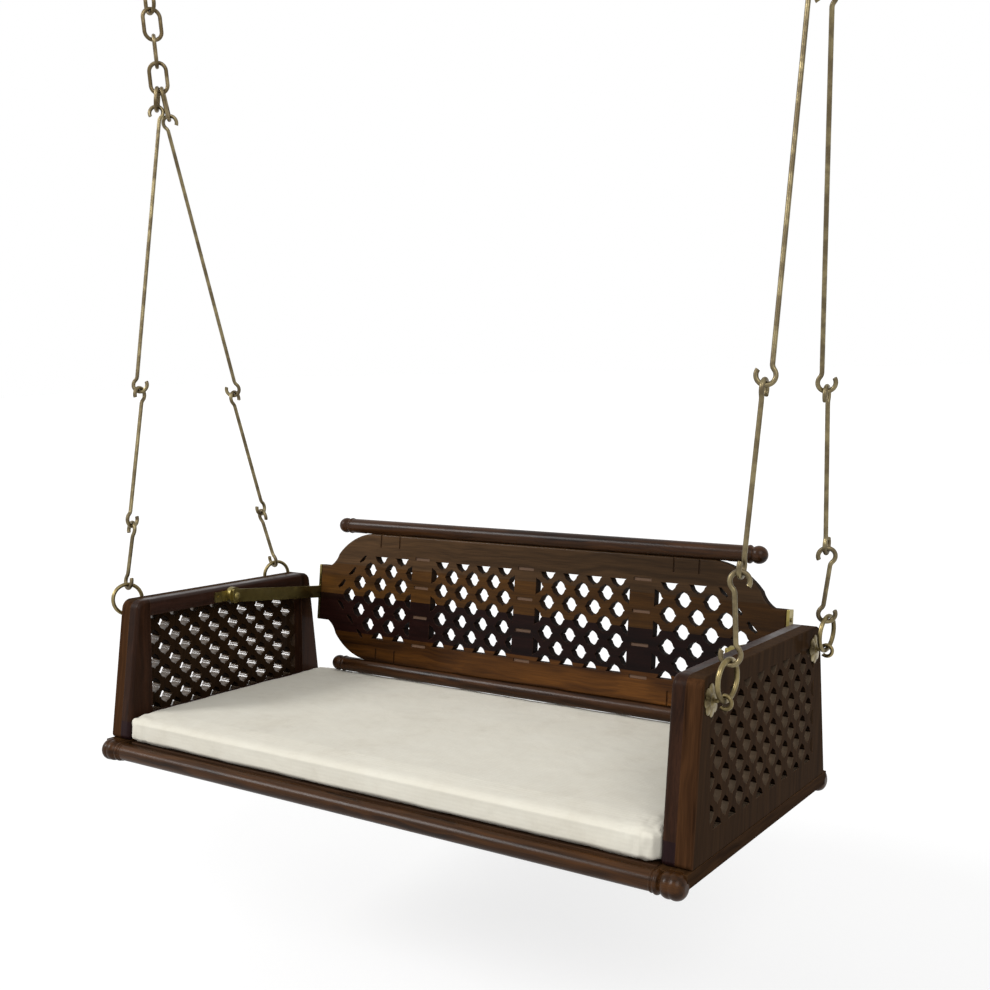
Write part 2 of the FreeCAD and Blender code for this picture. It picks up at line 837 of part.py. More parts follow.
class WirePath:
    """A planar path of straight runs and tangent arcs, laid out in a plane in space."""

    def __init__(self, origin, across, up, start, heading):
        self.origin, self.across, self.up = origin, across, up
        self.at = start
        self.heading = math.radians(heading)
        self.edges = []
        self.length = 0.0

    def spot(self, point):
        return self.origin + self.across * point.x + self.up * point.y

    def direction(self):
        return vec(math.sin(self.heading), math.cos(self.heading))

    def forward(self, length):
        end = self.at + self.direction() * length
        self.edges.append(Part.LineSegment(self.spot(self.at), self.spot(end)).toShape())
        self.at = end
        self.length += length

    def turn(self, radius, angle):
        """Turn right by a positive angle in degrees, or left by a negative one."""
        side = 1 if angle > 0 else -1
        along = self.direction()
        normal = vec(along.y, -along.x) * side
        middle = self.at + normal * radius
        spin = math.radians(angle)
        points = []
        for share in (0.5, 1.0):
            arm = Rotation(Z_AXIS, -math.degrees(spin * share)).multVec(-normal * radius)
            points.append(middle + arm)
        arc = Part.Arc(self.spot(self.at), self.spot(points[0]), self.spot(points[1]))
        self.edges.append(arc.toShape())
        self.at = points[1]
        self.heading += spin
        self.length += radius * abs(spin)

    def solid(self, wire_width):
        path = Part.Wire(self.edges)
        first = self.edges[0]
        tangent = first.tangentAt(first.FirstParameter)
        start = first.valueAt(first.FirstParameter)
        profile = Part.Wire([Part.makeCircle(wire_width / 2, start, tangent)])
        tube = path.makePipeShell([profile], True, False)
        wanted = math.pi * (wire_width / 2) ** 2 * self.length
        if abs(tube.Volume - wanted) > 0.005 * wanted:
            print("tube volume differs:", round(tube.Volume), round(wanted))
        return tube


def hook_offset(hook_radius, bend_radius, bend_angle):
    """Sideways distance from a shank to the middle of its hook."""
    turn = math.radians(bend_angle)
    return hook_radius * math.cos(turn) - bend_radius * (1 - math.cos(turn))


def hooked_rod(low, high, plane_hint, side, wire=rod_wire):
    """A straight rod with an open hook at each end, hanging between two contact points."""
    up = (high - low).normalize()
    across = (plane_hint - up * plane_hint.dot(up)).normalize() * side
    middle = (low + high) / 2
    span = low.distanceToPoint(high)
    loop_middle = span / 2 + (wire + link_gap) / 2 - rod_hook_radius
    offset = hook_offset(rod_hook_radius, rod_bend_radius, rod_bend_angle)
    lean = math.asin(offset / loop_middle)
    shank_up = up * math.cos(lean) - across * math.sin(lean)
    shank_across = across * math.cos(lean) + up * math.sin(lean)
    rise = (rod_bend_radius + rod_hook_radius) * math.sin(math.radians(rod_bend_angle))
    half_shank = loop_middle * math.cos(lean) - rise
    path = WirePath(middle, shank_across, shank_up, hook_tip(half_shank), hook_tip_heading())
    path.turn(rod_hook_radius, -rod_hook_sweep)
    path.turn(rod_bend_radius, rod_bend_angle)
    path.forward(2 * half_shank)
    path.turn(rod_bend_radius, -rod_bend_angle)
    path.turn(rod_hook_radius, rod_hook_sweep)
    return path.solid(wire)


def hook_tip_heading():
    """Heading at the free tip of a rod's lower hook, walking towards the shank."""
    return rod_hook_sweep - rod_bend_angle


def hook_tip(half_shank):
    """Where the lower hook's free tip lies, worked back from the foot of the shank."""
    trace = WirePath(CENTRE, X_AXIS, Y_AXIS, vec(0, -half_shank), 180)
    trace.turn(rod_bend_radius, -rod_bend_angle)
    trace.turn(rod_hook_radius, rod_hook_sweep)
    return trace.at


def loop_link(contact_low, contact_high, plane_hint, width, wire):
    """A welded chain link between its two contact points."""
    up = (contact_high - contact_low).normalize()
    across = (plane_hint - up * plane_hint.dot(up)).normalize()
    bend = (width - wire) / 2
    straight = contact_low.distanceToPoint(contact_high) + wire - 2 * bend
    middle = (contact_low + contact_high) / 2
    path = WirePath(middle, across, up, vec(-bend, -straight / 2), 0)
    for _ in range(2):
        path.forward(straight)
        path.turn(bend, 90)
        path.turn(bend, 90)
    return path.solid(wire)


def flat_direction(degrees):
    """A level direction, turned from the length of the seat towards its rear."""
    turn = math.radians(degrees)
    return vec(math.cos(turn), math.sin(turn))


def eye_hook():
    """Open eye, screwed into the side panel; drawn at the right end, at mid depth."""
    start = vec(half_length - eye_bite, 0, eye_height)
    path = WirePath(start, Z_AXIS, X_AXIS, CENTRE, 0)
    path.forward(eye_bite + eye_neck)
    path.turn(eye_bend_radius, eye_bend_angle)
    path.turn(eye_loop_radius, -eye_sweep)
    return path.solid(eye_wire)


def eye_bore(end):
    start = vec(half_length - eye_bite - fit_gap, end * eye_place, eye_height)
    return Part.makeCylinder(eye_wire / 2 + fit_gap, eye_bite + overrun, start, X_AXIS)


def petal_outline(notch, crest, height):
    step = 360.0 / rosette_petals
    edges = []
    for i in range(rosette_petals):
        points = []
        for turn, radius in ((-0.5, notch), (0, crest), (0.5, notch)):
            spin = Rotation(Z_AXIS, step * (i + turn))
            points.append(spin.multVec(vec(radius, 0, 0)) + Z_AXIS * height)
        edges.append(Part.Arc(*points).toShape())
    return Part.Wire(edges)


def rosette():
    """Flower-shaped washer behind the eye, lying on the panel's outer face."""
    rim = slab(petal_outline(rosette_notch_radius, rosette_radius, 0), rosette_edge)
    share = rosette_inner_share
    rise = Part.makeLoft([
        petal_outline(rosette_notch_radius, rosette_radius, rosette_edge),
        petal_outline(rosette_notch_radius * share, rosette_radius * share, rosette_rise)], True, True)
    dome_sphere = (rosette_dome_radius ** 2 + rosette_dome_rise ** 2) / (2 * rosette_dome_rise)
    ball = Part.makeSphere(dome_sphere, vec(0, 0, rosette_rise + rosette_dome_rise - dome_sphere))
    dome_floor = Part.makeCylinder(dome_sphere, dome_sphere, vec(0, 0, rosette_rise))
    flower = rim.fuse(rise).fuse(ball.common(dome_floor)).removeSplitter()
    bore = Part.makeCylinder(eye_wire / 2 + fit_gap, dome_sphere + overrun, vec(0, 0, -overrun))
    return placed(flower.cut(bore), vec(half_length, 0, eye_height), Y_AXIS, Z_AXIS)


def ceiling_hook(side, hook_x, bight_height):
    """Plate with four screw holes and a welded hook whose loop hangs under its middle."""
    plate = slab(rectangle(ceiling_plate, ceiling_plate, ceiling_plate_corner), ceiling_plate_thick)
    plate.translate(-Z_AXIS * ceiling_plate_thick)
    half = ceiling_hole_spacing / 2
    holes = []
    for x in (-half, half):
        for y in (-half, half):
            holes.append(Part.makeCylinder(ceiling_hole_radius, 2 * overrun, vec(x, y, -overrun)))
    plate = plate.cut(Part.makeCompound(holes))
    offset = hook_offset(hook_loop_radius, hook_bend_radius, hook_bend_angle)
    path = WirePath(CENTRE, -X_AXIS * side, -Z_AXIS, vec(-offset, ceiling_plate_thick / 2), 0)
    path.forward(hook_shank + ceiling_plate_thick / 2)
    path.turn(hook_bend_radius, -hook_bend_angle)
    path.turn(hook_loop_radius, hook_sweep)
    whole = plate.fuse(path.solid(hook_wire))
    whole.translate(vec(hook_x, 0, 0))
    return whole


# Where everything hangs

hook_rise = (hook_bend_radius + hook_loop_radius) * math.sin(math.radians(hook_bend_angle))
hook_bight = -(ceiling_plate_thick + hook_shank + hook_rise + hook_loop_radius)
hook_contact = hook_bight + (hook_wire + link_gap) / 2
apex_height = hook_contact - links_per_chain * link_pitch

eye_drop = hook_offset(eye_loop_radius, eye_bend_radius, eye_bend_angle)
eye_reach = eye_neck + (eye_bend_radius + eye_loop_radius) * math.sin(math.radians(eye_bend_angle))
eye_top = eye_height - eye_drop + eye_loop_radius
eye_contact = vec(half_length + eye_reach, eye_place, eye_top - (eye_wire + link_gap) / 2)
ring_pitch = 2 * ring_loop_radius - ring_wire - link_gap
line_rods = ring_pitch + short_rod + medium_rod + long_rod
front_line = line_rods + front_end_link
rear_line = line_rods + rear_end_link
spread_step = apex_half_spread - eye_contact.x
apex_y = (front_line ** 2 - rear_line ** 2) / (4 * eye_place)
apex_rise = math.sqrt(front_line ** 2 - spread_step ** 2 - (eye_place + apex_y) ** 2)
apex_in_seat = vec(0, apex_y, eye_contact.z + apex_rise)
spread_slope = spread_step / apex_rise
hook_half_spread = apex_half_spread + spread_slope * (hook_contact - apex_height)

seat_placement = Placement(vec(0, 0, apex_height), Rotation(X_AXIS, -seat_recline))
seat_placement = seat_placement * Placement(-apex_in_seat, Rotation())


def hang_lines():
    """Rings, rods, end links and chains of both sides, in their hanging places."""
    parts = {}
    for side_name, side in SIDES.items():
        apex = vec(side * apex_half_spread, 0, apex_height)
        hook = vec(side * hook_half_spread, 0, hook_contact)
        parts["chain_" + side_name] = chain_links(apex, hook)
        parts["ceiling_hook_" + side_name] = ceiling_hook(side, side * hook_half_spread, hook_bight)
        for end_name, end in ENDS.items():
            line = side_name + "_" + end_name
            parts.update(hang_one_line(line, side_name, end_name, apex))
    return parts


def chain_links(apex, hook):
    """Links from the lowest, which faces the front, up to the one across the ceiling hook."""
    links = []
    twist = (90 - link_turn) / (links_per_chain - 1)
    for i in range(links_per_chain):
        low = apex + (hook - apex) * (i / links_per_chain)
        high = apex + (hook - apex) * ((i + 1) / links_per_chain)
        lift = (high - low).normalize() * (link_gap / 2)
        direction = flat_direction(link_turn + i * (90 + twist))
        links.append(loop_link(low - lift, high + lift, direction, link_width, link_wire))
    return links


def hang_one_line(line, side_name, end_name, apex):
    """One corner's ring, three rods and end link, strung from the eye up to the chain."""
    side, end = SIDES[side_name], ENDS[end_name]
    eye = hung_point(vec(side * eye_contact.x, end * eye_contact.y, eye_contact.z))
    bend = (link_width - link_wire) / 2
    lift = bend - math.sqrt(bend ** 2 - end_link_shift ** 2) + end_link_gap
    shift = flat_direction(link_turn) * (end * end_link_shift)
    top = apex + shift + Z_AXIS * lift
    up = (top - eye).normalize()
    parts = {}
    low, high = eye, eye + up * ring_pitch
    ring = Part.makeTorus(ring_loop_radius, ring_wire / 2)
    ring_width = flat_direction(ring_turns[side_name])
    ring_across = (ring_width - up * ring_width.dot(up)).normalize()
    parts["ring_" + line] = placed(ring, (low + high) / 2, ring_across, up)
    for size, length in rod_lengths.items():
        low, high = high, high + up * length
        direction = flat_direction(rod_turns[side_name][size])
        parts[size + "_rod_" + line] = hooked_rod(low, high, direction, rod_sides[line][size])
    foot = high - up * (link_gap / 2)
    direction = flat_direction(end_link_turn)
    parts["end_link_" + line] = loop_link(foot, top, direction, link_width, link_wire)
    return parts


# Build and write every piece


def build():
    pieces = {}
    panel = side_panel_parts()
    eye_bores = Part.makeCompound([eye_bore(end) for end in ENDS.values()])
    bolts = Part.makeCompound([bolt_hole(end, -side_board_drop) for end in ENDS.values()])
    pivot = Part.makeCompound([pivot_bore(), base_screw(fit_gap)])
    for name, shape in panel.items():
        shape = shape.cut(eye_bores)
        if name != "side_lattice":
            shape = shape.cut(bolts).cut(pivot)
        for side_name, side in SIDES.items():
            pieces[name + "_" + side_name] = hung(mirrored(shape, side))
    platform = platform_parts()
    pieces["front_rail"] = hung(platform["front_rail"])
    pieces["rear_rail"] = hung(platform["rear_rail"])
    for side_name, side in SIDES.items():
        pieces["side_board_" + side_name] = hung(mirrored(platform["side_board"], side))
        pieces["arm_base_" + side_name] = hung(mirrored(base_plate(), side))
    pieces["seat_cushion"] = hung(cushion())
    groups = {
        "deck_planks": platform["deck_planks"],
        "deck_battens": platform["deck_battens"],
        "panel_bolts": [mirrored(panel_bolt(e), s) for s in SIDES.values() for e in ENDS.values()],
        "pivot_pins": [mirrored(pivot_pin(), s) for s in SIDES.values()],
        "base_screws": [mirrored(base_screw(0), s) for s in SIDES.values()],
    }
    eye, flower = eye_hook(), rosette()
    for side_name, side in SIDES.items():
        for end_name, end in ENDS.items():
            line = side_name + "_" + end_name
            for name, shape in (("eye_hook_", eye), ("rosette_", flower)):
                copy = mirrored(shape, side).copy()
                copy.translate(vec(0, end * eye_place, 0))
                pieces[name + line] = hung(copy)
    pivot_line = Placement(vec(0, 0, pivot_height), Rotation(X_AXIS, -arm_drop_angle()))
    for name, shape in upright_back_parts().items():
        copies = shape if isinstance(shape, list) else [shape]
        moved = []
        for copy in copies:
            copy = copy.copy()
            copy.transformShape(pivot_line.toMatrix(), True)
            moved.append(copy)
        if isinstance(shape, list):
            groups[name] = moved
        else:
            pieces[name] = hung(moved[0])
    for name, shapes in groups.items():
        save_group(name, [hung(s) for s in shapes])
    for name, shape in hang_lines().items():
        if isinstance(shape, list):
            save_group(name, shape)
        else:
            save(name, shape)
    for name, shape in pieces.items():
        save(name, shape)


build()
pivot_point = hung_point(vec(0, 0, pivot_height))
print("apex in seat frame", apex_in_seat)
print("apex height", apex_height, "hook bight", hook_bight, "hook half spread", hook_half_spread)
print("pivot point", pivot_point, "arm drop", arm_drop_angle())
print("seat foot middle", hung_point(CENTRE))
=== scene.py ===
import math

import bmesh
import bpy
from mathutils import Matrix, Vector, noise


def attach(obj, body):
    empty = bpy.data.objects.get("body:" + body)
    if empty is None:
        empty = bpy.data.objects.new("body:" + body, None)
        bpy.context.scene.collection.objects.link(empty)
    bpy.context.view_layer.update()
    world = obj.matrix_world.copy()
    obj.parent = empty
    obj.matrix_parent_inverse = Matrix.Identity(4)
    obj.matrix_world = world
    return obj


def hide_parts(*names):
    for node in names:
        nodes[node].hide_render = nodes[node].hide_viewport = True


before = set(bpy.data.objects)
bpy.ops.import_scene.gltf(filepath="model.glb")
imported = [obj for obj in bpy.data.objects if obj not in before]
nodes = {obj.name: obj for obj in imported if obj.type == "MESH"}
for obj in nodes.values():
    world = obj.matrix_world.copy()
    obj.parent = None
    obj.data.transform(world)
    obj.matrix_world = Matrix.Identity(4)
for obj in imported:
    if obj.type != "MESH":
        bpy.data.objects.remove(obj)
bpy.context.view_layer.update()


# Side panels. A board carved through as a lattice outside, and a frame of four strips
# glued inside it. Both are sheesham, stained dark walnut and lacquered. The seat hangs
# leaning back by seat_lean, and the grain follows each strip's own length.

seat_lean = math.radians(-4.0)
seat_middle = Vector((0, -0.0500443, -1.7950776))


def linear(hexcode):
    """A written sRGB colour as the linear colour that Blender works in."""
    parts = [int(hexcode[i:i + 2], 16) / 255 for i in (1, 3, 5)]
    parts = [p / 12.92 if p <= 0.04045 else ((p + 0.055) / 1.055) ** 2.4 for p in parts]
    return (*parts, 1.0)


def add(tree, kind, sockets=None, stops=(), **settings):
    """Adds a shader node with its settings, its socket values and links, and its ramp."""
    made = tree.nodes.new("ShaderNode" + kind)
    for name, value in settings.items():
        setattr(made, name, value)
    for name, value in (sockets or {}).items():
        if isinstance(value, bpy.types.NodeSocket):
            tree.links.new(value, made.inputs[name])
        else:
            made.inputs[name].default_value = value
    if stops:
        elements = made.color_ramp.elements
        while len(elements) < len(stops):
            elements.new(0.5)
        for element, (place, colour) in zip(elements, stops):
            element.position = place
            element.color = linear(colour)
    return made


def sheesham(name, planks, grain="Z", across="Z", start=0.0, width=1.0,
             place=seat_middle, lean=seat_lean, gloss=0.32, coat=0.06,
             coat_blur=0.12, shine=0.12, worn_and_highlit="#6e4a30"):
    """Lacquered sheesham. Each plank is (where it starts, dark figure, light figure) along
    the across axis, and its fibres run along the grain axis of the piece's own frame."""
    finish = bpy.data.materials.new(name)
    finish.use_nodes = True
    tree = finish.node_tree
    surface = tree.nodes["Principled BSDF"]
    position = add(tree, "TexCoord").outputs["Object"]
    level = add(tree, "Mapping", {"Vector": position, "Location": place,
                                  "Rotation": (lean, 0, 0)},
                vector_type="TEXTURE").outputs["Vector"]
    axes = add(tree, "SeparateXYZ", {"Vector": level})
    share = add(tree, "MapRange", {"Value": axes.outputs[across], "From Min": start,
                                   "From Max": start + width}).outputs["Result"]
    darks = add(tree, "ValToRGB", {"Fac": share},
                [((p[0] - start) / width, p[1]) for p in planks])
    lights = add(tree, "ValToRGB", {"Fac": share},
                 [((p[0] - start) / width, p[2]) for p in planks])
    for ramp in (darks, lights):
        ramp.color_ramp.interpolation = "CONSTANT"
    other_tree = add(tree, "Math", {0: lights.outputs["Color"], 1: 400.0}, operation="MULTIPLY")
    # Growth bands 12 mm apart that run for 700 mm, and pores 1.6 mm apart, drawn that
    # coarse to show, that run for 60 mm.
    bands = [1 / 0.012] * 3
    pores = [1 / 0.0016] * 3
    bands["XYZ".index(grain)] = 1 / 0.7
    pores["XYZ".index(grain)] = 1 / 0.06
    sway = add(tree, "TexNoise", {"Vector": level, "Scale": 5.0, "Detail": 2.0})
    swayed = add(tree, "VectorMath", {0: sway.outputs["Color"], 1: (0.04, 0.04, 0.04)},
                 operation="MULTIPLY")
    swayed = add(tree, "VectorMath", {0: level, 1: swayed.outputs["Vector"]}, operation="ADD")
    figure = add(tree, "Mapping", {"Vector": swayed.outputs["Vector"], "Scale": bands})
    figure = add(tree, "TexNoise", {"Vector": figure.outputs["Vector"],
                                    "W": other_tree.outputs["Value"], "Scale": 1.0,
                                    "Detail": 3.0, "Roughness": 0.5, "Distortion": 0.2},
                 noise_dimensions="4D")
    figure = add(tree, "MapRange", {"Value": figure.outputs["Fac"], "From Min": 0.3,
                                    "From Max": 0.68})
    pore = add(tree, "Mapping", {"Vector": level, "Scale": pores})
    pore = add(tree, "TexNoise", {"Vector": pore.outputs["Vector"], "Scale": 1.0,
                                  "Detail": 2.0}).outputs["Fac"]
    wood = add(tree, "Mix", {"Factor": figure.outputs["Result"], "A": darks.outputs["Color"],
                             "B": lights.outputs["Color"]}, data_type="RGBA")
    shade = add(tree, "MapRange", {"Value": pore, "From Min": 0.3, "From Max": 0.6,
                                   "To Min": 0.76, "To Max": 1.08})
    wood = add(tree, "VectorMath", {0: wood.outputs["Result"],
                                    "Scale": shade.outputs["Result"]}, operation="SCALE")
    # Lighter on the arrises, where a rounding of 2 mm would turn the surface: lacquer rubbed
    # thin there, and in part a painted highlight where the edges catch the light.
    rounded = add(tree, "Bevel", {"Radius": 0.002}, samples=4)
    flat = add(tree, "NewGeometry").outputs["True Normal"]
    edge = add(tree, "VectorMath", {0: rounded.outputs["Normal"], 1: flat},
               operation="DOT_PRODUCT")
    edge = add(tree, "MapRange", {"Value": edge.outputs["Value"], "From Min": 0.97,
                                  "From Max": 0.75, "To Max": 0.4})
    wood = add(tree, "Mix", {"Factor": edge.outputs["Result"], "A": wood.outputs["Vector"],
                             "B": linear(worn_and_highlit)}, data_type="RGBA")
    tree.links.new(wood.outputs["Result"], surface.inputs["Base Color"])
    smudge = add(tree, "TexNoise", {"Vector": level, "Scale": 22.0, "Detail": 3.0})
    smudge = add(tree, "MapRange", {"Value": smudge.outputs["Fac"], "From Min": 0.3,
                                    "From Max": 0.7, "To Min": gloss, "To Max": gloss + 0.16})
    tree.links.new(smudge.outputs["Result"], surface.inputs["Roughness"])
    surface.inputs["IOR"].default_value = 1.5
    surface.inputs["Specular IOR Level"].default_value = shine
    surface.inputs["Coat Weight"].default_value = coat
    surface.inputs["Coat Roughness"].default_value = coat_blur
    relief = add(tree, "Bump", {"Height": pore, "Strength": 0.25, "Distance": 0.0004,
                                "Normal": rounded.outputs["Normal"]})
    tree.links.new(relief.outputs["Normal"], surface.inputs["Normal"])
    return finish


def give(finish, *names):
    """Puts a finish on CAD nodes."""
    for name in names:
        nodes[name].data.materials.clear()
        nodes[name].data.materials.append(finish)


# A panel's front edge starts 306 mm in front of the seat's middle and leans back by
# 37.5 mm over its height of 298 mm.
front_slope = math.atan(37.5 / 298)
front_foot = seat_middle + Matrix.Rotation(seat_lean, 3, "X") @ Vector((0, -0.306, 0))
board_coat = 0.03
lattice_board = sheesham(
    "sheesham_carved_board", [(-0.02, "#2c1b10", "#50341f"), (0.005, "#35261a", "#422f1f")],
    across="Y", start=-0.02, width=0.7, place=front_foot, lean=seat_lean - front_slope,
    gloss=0.4, coat=board_coat, shine=0.0)
tree = lattice_board.node_tree
surface = tree.nodes["Principled BSDF"]
# Lacquer gathers thick on the walls that face up in the holes, and those walls get a painted
# highlight, mixed paler as if lit from above, while the walls that face down get painted shade.
# These walls don't face along X, and they lie in the carved field, within hole_reach of its
# middle.
hole_middle = {"Y": 0.0, "Z": 0.14}
hole_reach = {"Y": 0.266, "Z": 0.13}
facing = add(tree, "SeparateXYZ", {"Vector": add(tree, "NewGeometry").outputs["True Normal"]})
inward = add(tree, "Math", {0: facing.outputs["X"]}, operation="ABSOLUTE")
inward = add(tree, "MapRange", {"Value": inward.outputs["Value"], "From Min": 0.5,
                                "From Max": 0.3}).outputs["Result"]
level = add(tree, "Mapping", {"Vector": add(tree, "TexCoord").outputs["Object"],
                              "Location": seat_middle, "Rotation": (seat_lean, 0, 0)},
            vector_type="TEXTURE")
level = add(tree, "SeparateXYZ", {"Vector": level.outputs["Vector"]})
for axis in "YZ":
    near = add(tree, "Math", {0: level.outputs[axis], 1: hole_middle[axis],
                              2: hole_reach[axis]}, operation="COMPARE")
    inward = add(tree, "Math", {0: inward, 1: near.outputs["Value"]},
                 operation="MULTIPLY").outputs["Value"]
up = add(tree, "MapRange", {"Value": facing.outputs["Z"], "From Min": 0.0, "From Max": 0.3})
down = add(tree, "MapRange", {"Value": facing.outputs["Z"], "From Min": 0.0, "From Max": -0.3})
up_wall = add(tree, "Math", {0: inward, 1: up.outputs["Result"]}, operation="MULTIPLY")
down_wall = add(tree, "Math", {0: inward, 1: down.outputs["Result"]}, operation="MULTIPLY")
thick_coat = add(tree, "MapRange", {"Value": up_wall.outputs["Value"], "To Min": board_coat,
                                    "To Max": 1.0})
tree.links.new(thick_coat.outputs["Result"], surface.inputs["Coat Weight"])
# Painted shade: the inner face of the left board is darker, down to half.
left = add(tree, "Math", {0: level.outputs["X"], 1: 0.0}, operation="LESS_THAN")
left = add(tree, "Math", {0: left.outputs["Value"], 1: facing.outputs["X"]},
           operation="MULTIPLY")
shade = add(tree, "MapRange", {"Value": left.outputs["Value"], "From Min": 0.3, "From Max": 0.8,
                               "To Min": 1.0, "To Max": 0.5})
board_colour = add(tree, "VectorMath", {0: surface.inputs["Base Color"].links[0].from_socket,
                                   "Scale": shade.outputs["Result"]}, operation="SCALE")
# Painted highlight: the walls that face up are mixed up to a quarter of the way to pale
# grey-brown.
painted_highlight_up = add(tree, "Math", {0: up_wall.outputs["Value"], 1: 0.24}, operation="MULTIPLY")
board_colour = add(tree, "Mix", {"Factor": painted_highlight_up.outputs["Value"], "A": board_colour.outputs["Vector"],
                            "B": linear("#8e806e")}, data_type="RGBA")
# Painted shade: the walls that face down are mixed most of the way to near black.
painted_shade_down = add(tree, "Math", {0: down_wall.outputs["Value"], 1: 0.8}, operation="MULTIPLY")
board_colour = add(tree, "Mix", {"Factor": painted_shade_down.outputs["Value"], "A": board_colour.outputs["Result"],
                            "B": linear("#0a0604")}, data_type="RGBA")
tree.links.new(board_colour.outputs["Result"], surface.inputs["Base Color"])
give(lattice_board, "side_lattice_left", "side_lattice_right")
give(sheesham("sheesham_stile", [(-0.02, "#1a0e0e", "#281718"), (0.04, "#20120b", "#382216")],
              start=-0.02, width=0.35, coat=0.04, shine=0.05),
     "side_front_stile_left", "side_front_stile_right", "side_rear_stile_left",
     "side_rear_stile_right")
give(sheesham("sheesham_panel_rail", [(-0.1, "#1e110b", "#362018")], grain="Y", start=-0.1),
     "side_top_rail_left", "side_top_rail_right", "side_bottom_rail_left",
     "side_bottom_rail_right")


# Platform. Two turned rails of sheesham run the length of the seat, two boards join them
# under the panels, and planks on battens carry the mattress. The turned rails are the
# glossiest wood, the planks are only stained.

give(sheesham("sheesham_turned_rail", [(-0.1, "#1e1108", "#4e3016")], grain="X", start=-0.1,
              gloss=0.24, coat=0.18, coat_blur=0.26, shine=0.05), "front_rail", "rear_rail")
give(sheesham("sheesham_side_board", [(-0.1, "#27180d", "#46301c")], grain="Y", start=-0.1,
              gloss=0.4, coat=0.03, shine=0.0),
     "side_board_left", "side_board_right")
give(sheesham("stained_plank", [(-0.1, "#2b1c12", "#4a3220")], grain="X", start=-0.1,
              gloss=0.5), "deck_planks")
give(sheesham("stained_batten", [(-0.1, "#2b1c12", "#4a3220")], grain="Y", start=-0.1,
              gloss=0.5), "deck_battens")


# Backrest. Planks glued edge to edge make the board, each of its own tree: brown on top,
# golden brown, a dark band of heartwood, and golden brown again below. It hangs from the
# brass arms at back_lean.

back_lean = math.radians(-9.6285)
pivot = Vector((0, -0.0307218, -1.5187523))
# Where the upper planks start above or below the pivot, and how the slots lie in the board.
dark_plank, golden_plank, top_plank = -0.092, 0.0, 0.075
board_middle, slot_floor, slot_reach = 0.297, 0.0085, 0.115
back_planks = sheesham(
    "sheesham_back_planks",
    [(-0.17, "#321c0c", "#663f1a"), (dark_plank, "#100605", "#1e0d0a"),
     (golden_plank, "#33200e", "#523516"), (top_plank, "#382819", "#503a25")],
    grain="X", start=-0.17, width=0.34, place=pivot, lean=back_lean, shine=0.04)
tree = back_planks.node_tree
surface = tree.nodes["Principled BSDF"]
board_colour = surface.inputs["Base Color"].links[0].from_socket
# The planks are lighter at the left end, but the lowest one is at the right.
upright = add(tree, "Mapping", {"Vector": add(tree, "TexCoord").outputs["Object"],
                                "Location": pivot, "Rotation": (back_lean, 0, 0)},
              vector_type="TEXTURE")
upright = add(tree, "SeparateXYZ", {"Vector": upright.outputs["Vector"]})
along = {"Value": upright.outputs["X"], "From Min": -0.6, "From Max": 0.5}
upper = add(tree, "MapRange", {**along, "To Min": 1.25, "To Max": 0.6})
lowest = add(tree, "MapRange", {**along, "To Min": 0.4, "To Max": 1.05})
is_lowest = add(tree, "Math", {0: upright.outputs["Z"], 1: dark_plank},
                operation="LESS_THAN")
gain = add(tree, "Mix", {"Factor": is_lowest.outputs["Value"], "A": upper.outputs["Result"],
                         "B": lowest.outputs["Result"]})
board_colour = add(tree, "VectorMath", {0: board_colour, "Scale": gain.outputs["Result"]},
              operation="SCALE").outputs["Vector"]
# The walls of the cut holes are made darker, and the floors of the short slots, which lie
# slot_floor off the board's middle plane, keep less stain.
facing = add(tree, "VectorMath", {0: add(tree, "NewGeometry").outputs["True Normal"],
                                  1: (0, math.cos(back_lean), math.sin(back_lean))},
             operation="DOT_PRODUCT")
facing = add(tree, "Math", {0: facing.outputs["Value"]}, operation="ABSOLUTE").outputs["Value"]
wall = add(tree, "MapRange", {"Value": facing, "From Min": 0.6, "From Max": 0.3, "To Max": 0.7})
board_colour = add(tree, "Mix", {"Factor": wall.outputs["Result"], "A": board_colour,
                            "B": linear("#140c08")}, data_type="RGBA").outputs["Result"]
depth = add(tree, "Math", {0: upright.outputs["Y"], 1: board_middle}, operation="SUBTRACT")
depth = add(tree, "Math", {0: depth.outputs["Value"]}, operation="ABSOLUTE")
sunk = add(tree, "Math", {0: depth.outputs["Value"], 1: slot_floor, 2: 0.0006},
           operation="COMPARE").outputs["Value"]
flat = add(tree, "Math", {0: facing, 1: 0.95}, operation="GREATER_THAN").outputs["Value"]
row = add(tree, "Math", {0: upright.outputs["Z"]}, operation="ABSOLUTE").outputs["Value"]
row = add(tree, "Math", {0: row, 1: slot_reach}, operation="LESS_THAN").outputs["Value"]
sunk = add(tree, "Math", {0: sunk, 1: flat}, operation="MULTIPLY").outputs["Value"]
sunk = add(tree, "Math", {0: sunk, 1: row}, operation="MULTIPLY").outputs["Value"]
sunk = add(tree, "Math", {0: sunk, 1: 0.6}, operation="MULTIPLY").outputs["Value"]
board_colour = add(tree, "Mix", {"Factor": sunk, "A": board_colour, "B": linear("#7d6453")},
              data_type="RGBA").outputs["Result"]
tree.links.new(board_colour, surface.inputs["Base Color"])
dull = add(tree, "Mix", {"Factor": wall.outputs["Result"], "B": 1.0,
                         "A": surface.inputs["Roughness"].links[0].from_socket})
tree.links.new(dull.outputs["Result"], surface.inputs["Roughness"])
thin_coat = add(tree, "MapRange", {"Value": wall.outputs["Result"], "To Min": 0.08,
                                   "To Max": 0.0})
tree.links.new(thin_coat.outputs["Result"], surface.inputs["Coat Weight"])
give(back_planks, "back_panel")
give(sheesham("sheesham_back_rail", [(-0.3, "#150b07", "#462b16")], grain="X", start=-0.3,
              place=pivot, lean=back_lean, gloss=0.22, coat=0.18, coat_blur=0.26, shine=0.05),
     "back_top_rail", "back_bottom_rail")


